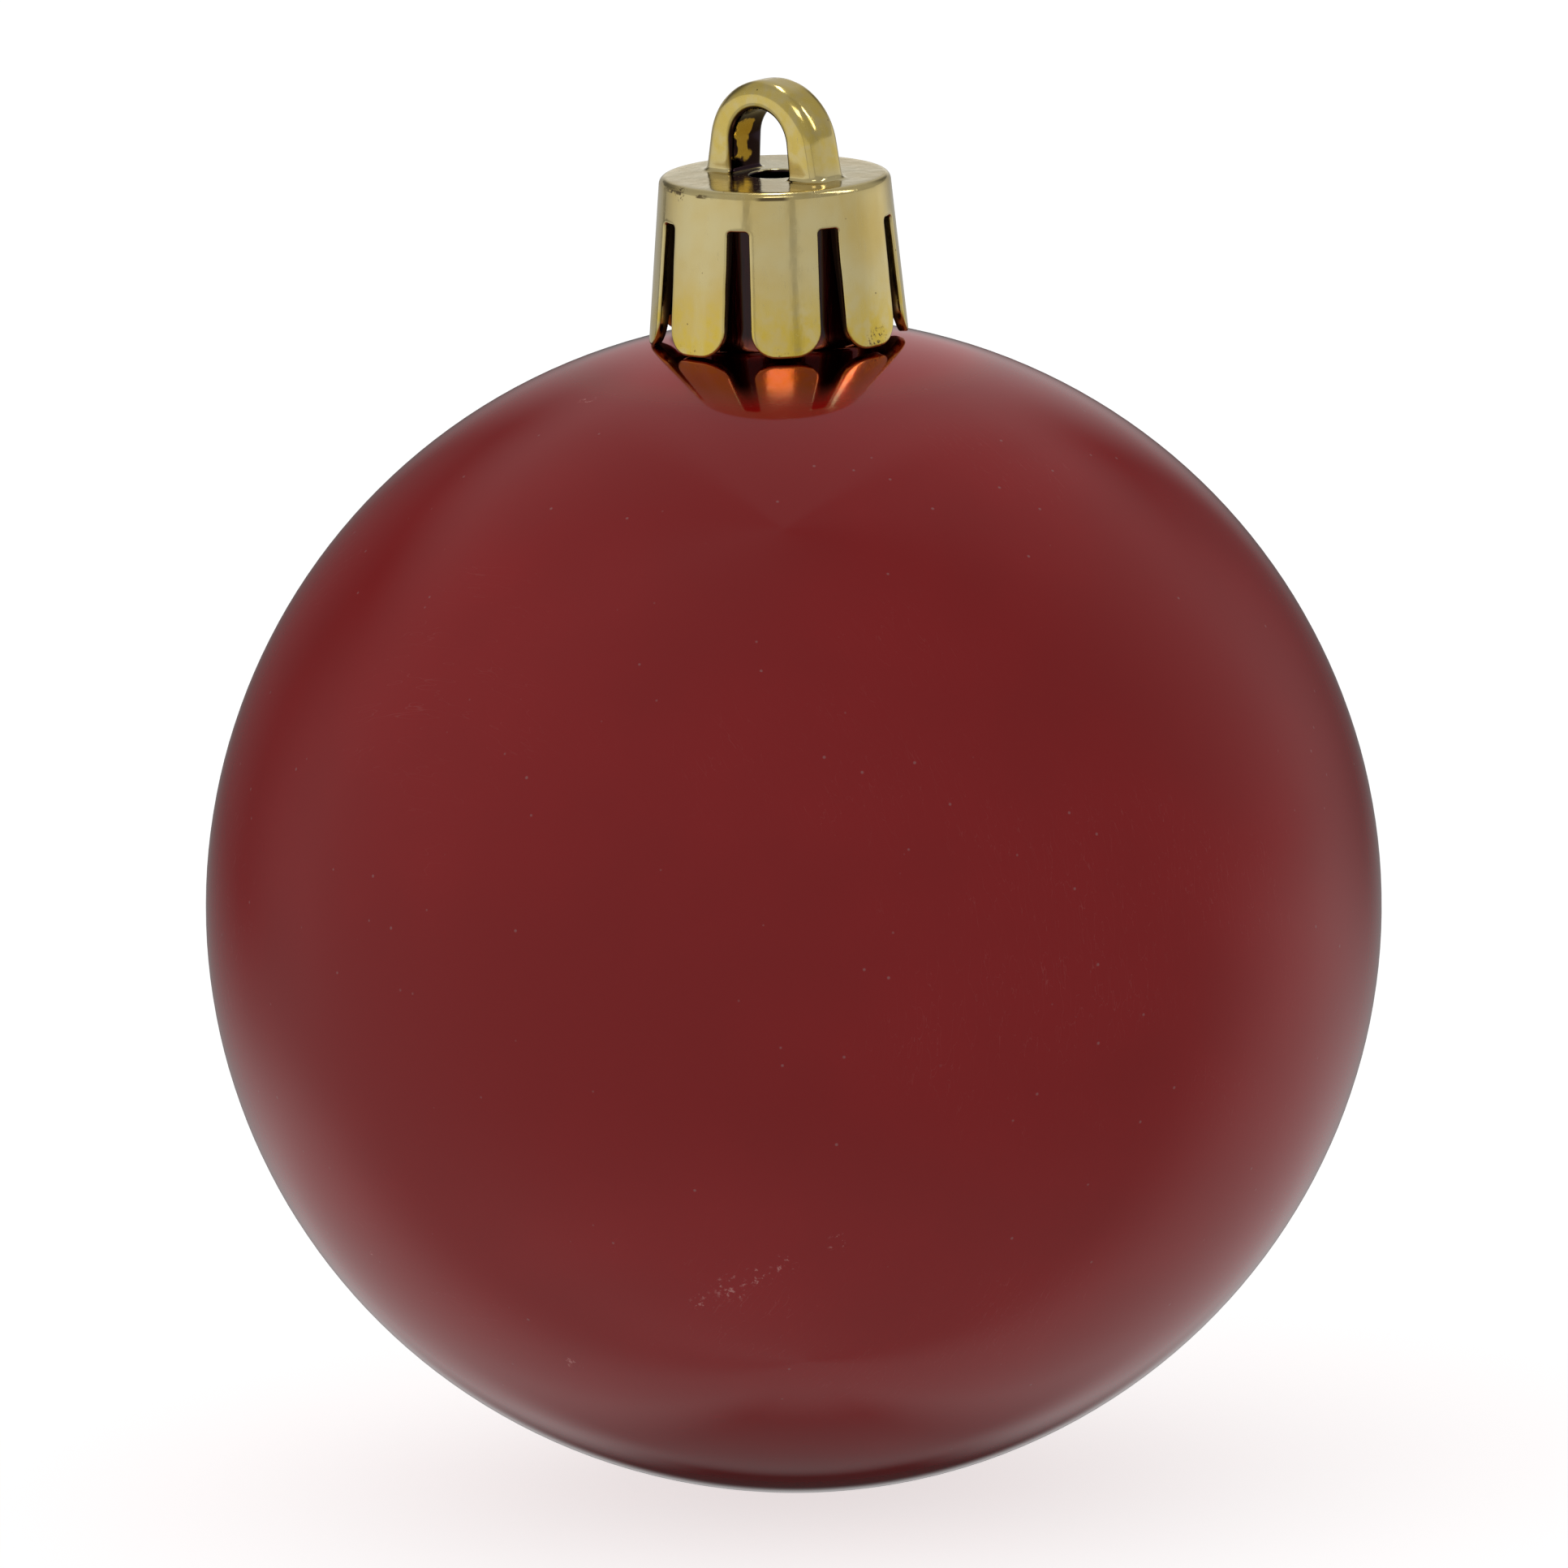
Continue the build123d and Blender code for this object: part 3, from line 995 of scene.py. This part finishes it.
def panel(name, lit, aim_z, azimuth, elevation, half_width, half_height, radiance):
    """Soft panel that lights one piece alone, given by angles from it in degrees."""
    data = bpy.data.lights.new(name, "AREA")
    data.shape = "RECTANGLE"
    data.size = 2 * PANEL_DISTANCE * MM * tan(radians(half_width))
    data.size_y = 2 * PANEL_DISTANCE * MM * tan(radians(half_height))
    data.energy = radiance * pi * data.size * data.size_y
    light = bpy.data.objects.new(name, data)
    bpy.context.scene.collection.objects.link(light)
    a, e = radians(azimuth + CAMERA_AZIMUTH), radians(elevation)
    outward = Vector((sin(a) * cos(e), -cos(a) * cos(e), sin(e)))
    turn = outward.to_track_quat("Z", "Y").to_matrix().to_4x4()
    aim = Vector((0, 0, aim_z * MM))
    light.matrix_world = Matrix.Translation(aim + outward * PANEL_DISTANCE * MM) @ turn
    light.light_linking.receiver_collection = lit
    return light


def light_cap():
    """Highlights of the rim, loop and front finger, and the pale horizon round the cap."""
    lit = bpy.data.collections.new("lit_cap")
    lit.objects.link(cap)
    panel("rim_light", lit, plate_z, 0, 112, 3.5, 10, 8.0)
    panel("loop_light", lit, plate_z, 84, 42, 5, 16, 4.5)
    panel("front_light", lit, plate_z, 0, 51, 10, 8, 2.2)
    for azimuth, half_width, radiance in HORIZON_PANELS:
        panel("horizon_light", lit, plate_z, azimuth, -1, half_width, 12, radiance)


def light_ball():
    """Broad fill at both sides of the ball, left out of its mirror reflections."""
    lit = bpy.data.collections.new("lit_ball")
    lit.objects.link(ball)
    for azimuth, elevation, radiance in SIDE_FILLS:
        fill = panel("side_fill", lit, ball_z, azimuth, elevation, 25, 35, radiance)
        fill.visible_glossy = False


make_floor()
make_studio()
light_cap()
light_ball()

# ---------------------------------------------------------------- camera


def make_camera():
    data = bpy.data.cameras.new("camera")
    camera = bpy.data.objects.new("camera", data)
    bpy.context.scene.collection.objects.link(camera)
    a, e = radians(CAMERA_AZIMUTH), radians(CAMERA_ELEVATION)
    back = Vector((sin(a) * cos(e), -cos(a) * cos(e), sin(e)))
    apparent = tan(asin(BALL_RADIUS / CAMERA_DISTANCE))
    data.lens = data.sensor_width * BALL_RADIUS_IN_FRAME / apparent
    turn = (-back).to_track_quat("-Z", "Y").to_matrix() @ Matrix.Rotation(radians(-CAMERA_ROLL), 3, "Z")
    right, up = turn @ Vector((1, 0, 0)), turn @ Vector((0, 1, 0))
    mm_per_frame = BALL_RADIUS / BALL_RADIUS_IN_FRAME
    target = Vector((0, 0, ball_z))
    target += (up * BALL_BELOW_CENTRE - right * BALL_RIGHT_OF_CENTRE) * mm_per_frame
    camera.matrix_world = Matrix.Translation((target + back * CAMERA_DISTANCE) * MM) @ turn.to_4x4()
    bpy.context.scene.camera = camera


make_camera()
